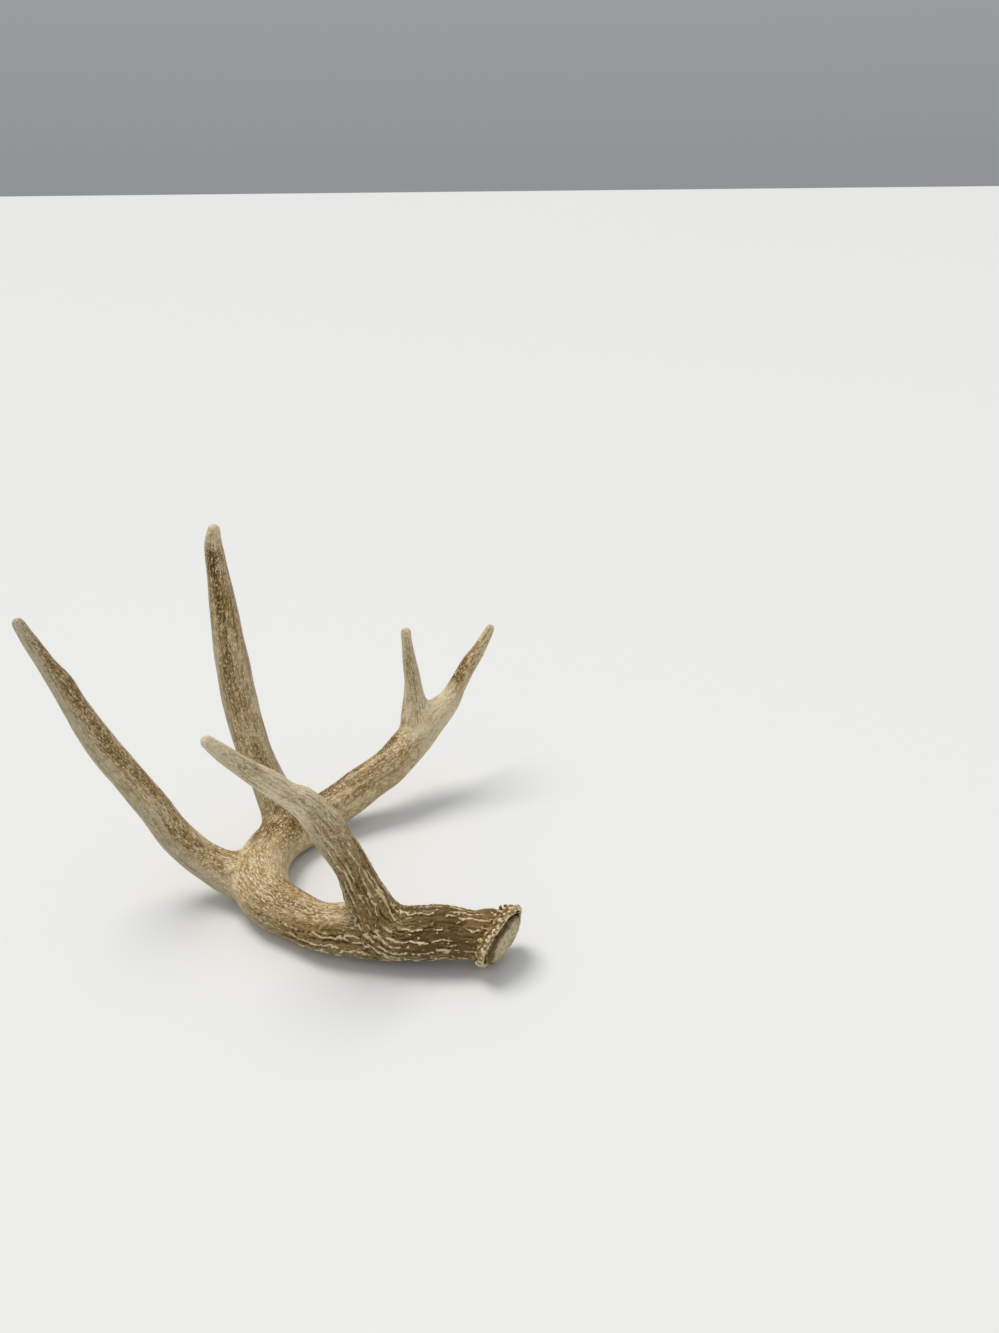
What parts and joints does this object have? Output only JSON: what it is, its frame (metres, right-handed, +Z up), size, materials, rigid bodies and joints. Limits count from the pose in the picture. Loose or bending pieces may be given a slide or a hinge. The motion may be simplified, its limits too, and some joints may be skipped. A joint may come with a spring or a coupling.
{
  "type": "deer antler",
  "caption": "Shed deer antler lying on its outer side: a curved main beam with a knobby burr at its root, a pearled brow tine and long upright tines.",
  "frame": {"origin": "middle of the footprint, on the surface that the antler lies on", "axes": "+Z up from the surface; +X along the greatest length, from the second tine's tip towards the burr; the burr and the brow tine are on the -Y side and the beam's tip is on the +Y side"},
  "size_m": [0.2519, 0.2228, 0.1925],
  "materials": {
    "beam_bone": "weathered antler bone, warm brown in the grooves, pale on the crests, matte with a slight sheen",
    "brow_tine_bone": "weathered antler bone, deeply grooved and pearled at the root, smoother and greyer to the tip",
    "second_tine_bone": "weathered antler bone, cream and tan with brown flecks along its middle",
    "third_tine_bone": "weathered antler bone, brown streaks with a worn ivory tip",
    "fourth_tine_bone": "weathered antler bone, grey-brown streaks with a pale tip"
  },
  "bodies": {
    "root": {"main_beam": "beam_bone", "brow_tine": "brow_tine_bone", "second_tine": "second_tine_bone", "third_tine": "third_tine_bone", "fourth_tine": "fourth_tine_bone"}
  },
  "joints": []
}
